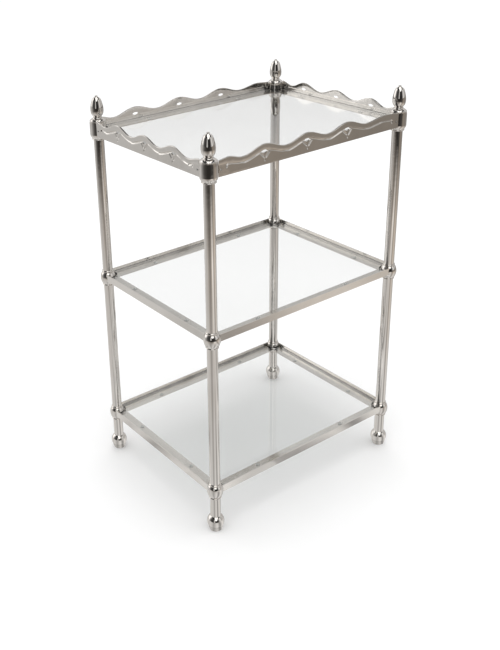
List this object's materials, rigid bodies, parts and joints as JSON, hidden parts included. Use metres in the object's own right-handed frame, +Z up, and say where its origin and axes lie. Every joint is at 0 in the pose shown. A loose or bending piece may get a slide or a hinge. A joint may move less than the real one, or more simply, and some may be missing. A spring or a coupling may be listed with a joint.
{
  "type": "etagere_shelf_stand",
  "caption": "Three-tier display stand with turned polished nickel legs, clear glass shelves and a scalloped gallery round the top; ball feet.",
  "frame": {"origin": "bounding box bottom centre, on the floor", "axes": "+Z up along the legs, +X along the longer side to the right as seen from the front, +Y to the rear"},
  "size_m": [0.4832, 0.3732, 0.786],
  "materials": {
    "polished_nickel": "polished",
    "cast_nickel": "polished",
    "satin_nickel": "satin",
    "steel": "satin",
    "clear_glass": "polished",
    "clear_vinyl": "gloss"
  },
  "bodies": {
    "stand": {"finial_front_left": "polished_nickel", "top_collar_front_left": "polished_nickel", "upper_tube_front_left": "polished_nickel", "middle_ball_front_left": "polished_nickel", "lower_tube_front_left": "polished_nickel", "bottom_ball_front_left": "polished_nickel", "foot_tube_front_left": "polished_nickel", "ball_foot_front_left": "polished_nickel", "finial_front_right": "polished_nickel", "top_collar_front_right": "polished_nickel", "upper_tube_front_right": "polished_nickel", "middle_ball_front_right": "polished_nickel", "lower_tube_front_right": "polished_nickel", "bottom_ball_front_right": "polished_nickel", "foot_tube_front_right": "polished_nickel", "ball_foot_front_right": "polished_nickel", "finial_rear_left": "polished_nickel", "top_collar_rear_left": "polished_nickel", "upper_tube_rear_left": "polished_nickel", "middle_ball_rear_left": "polished_nickel", "lower_tube_rear_left": "polished_nickel", "bottom_ball_rear_left": "polished_nickel", "foot_tube_rear_left": "polished_nickel", "ball_foot_rear_left": "polished_nickel", "finial_rear_right": "polished_nickel", "top_collar_rear_right": "polished_nickel", "upper_tube_rear_right": "polished_nickel", "middle_ball_rear_right": "polished_nickel", "lower_tube_rear_right": "polished_nickel", "bottom_ball_rear_right": "polished_nickel", "foot_tube_rear_right": "polished_nickel", "ball_foot_rear_right": "polished_nickel", "tie_rods": "steel", "gallery_front": "cast_nickel", "gallery_rear": "cast_nickel", "gallery_left": "cast_nickel", "gallery_right": "cast_nickel", "bottom_rail_front": "polished_nickel", "bottom_rail_rear": "polished_nickel", "bottom_rail_left": "polished_nickel", "bottom_rail_right": "polished_nickel", "middle_rail_front": "polished_nickel", "middle_rail_rear": "polished_nickel", "middle_rail_left": "polished_nickel", "middle_rail_right": "polished_nickel", "top_rail_front": "polished_nickel", "top_rail_rear": "polished_nickel", "top_rail_left": "polished_nickel", "top_rail_right": "polished_nickel", "glass_pads": "clear_vinyl", "gallery_screws": "steel"},
    "top_pane": {"top_glass": "clear_glass"},
    "middle_pane": {"middle_glass": "clear_glass"},
    "bottom_pane": {"bottom_glass": "clear_glass"},
    "glide_front_left": {"levelling_glide_front_left": "satin_nickel"},
    "glide_front_right": {"levelling_glide_front_right": "satin_nickel"},
    "glide_rear_left": {"levelling_glide_rear_left": "satin_nickel"},
    "glide_rear_right": {"levelling_glide_rear_right": "satin_nickel"}
  },
  "joints": [
    {"name": "lift_out_top_glass", "type": "slide", "parent": "stand", "child": "top_pane", "axis": [0, 0, 1], "range_m": [0, 0.075]},
    {"name": "lift_out_middle_glass", "type": "slide", "parent": "stand", "child": "middle_pane", "axis": [0, 0, 1], "range_m": [0, 0.04]},
    {"name": "lift_out_bottom_glass", "type": "slide", "parent": "stand", "child": "bottom_pane", "axis": [0, 0, 1], "range_m": [0, 0.04]},
    {"name": "screw_out_glide_front_left", "type": "slide", "parent": "stand", "child": "glide_front_left", "axis": [0, 0, -1], "range_m": [0, 0.004]},
    {"name": "screw_out_glide_front_right", "type": "slide", "parent": "stand", "child": "glide_front_right", "axis": [0, 0, -1], "range_m": [0, 0.004]},
    {"name": "screw_out_glide_rear_left", "type": "slide", "parent": "stand", "child": "glide_rear_left", "axis": [0, 0, -1], "range_m": [0, 0.004]},
    {"name": "screw_out_glide_rear_right", "type": "slide", "parent": "stand", "child": "glide_rear_right", "axis": [0, 0, -1], "range_m": [0, 0.004]}
  ]
}
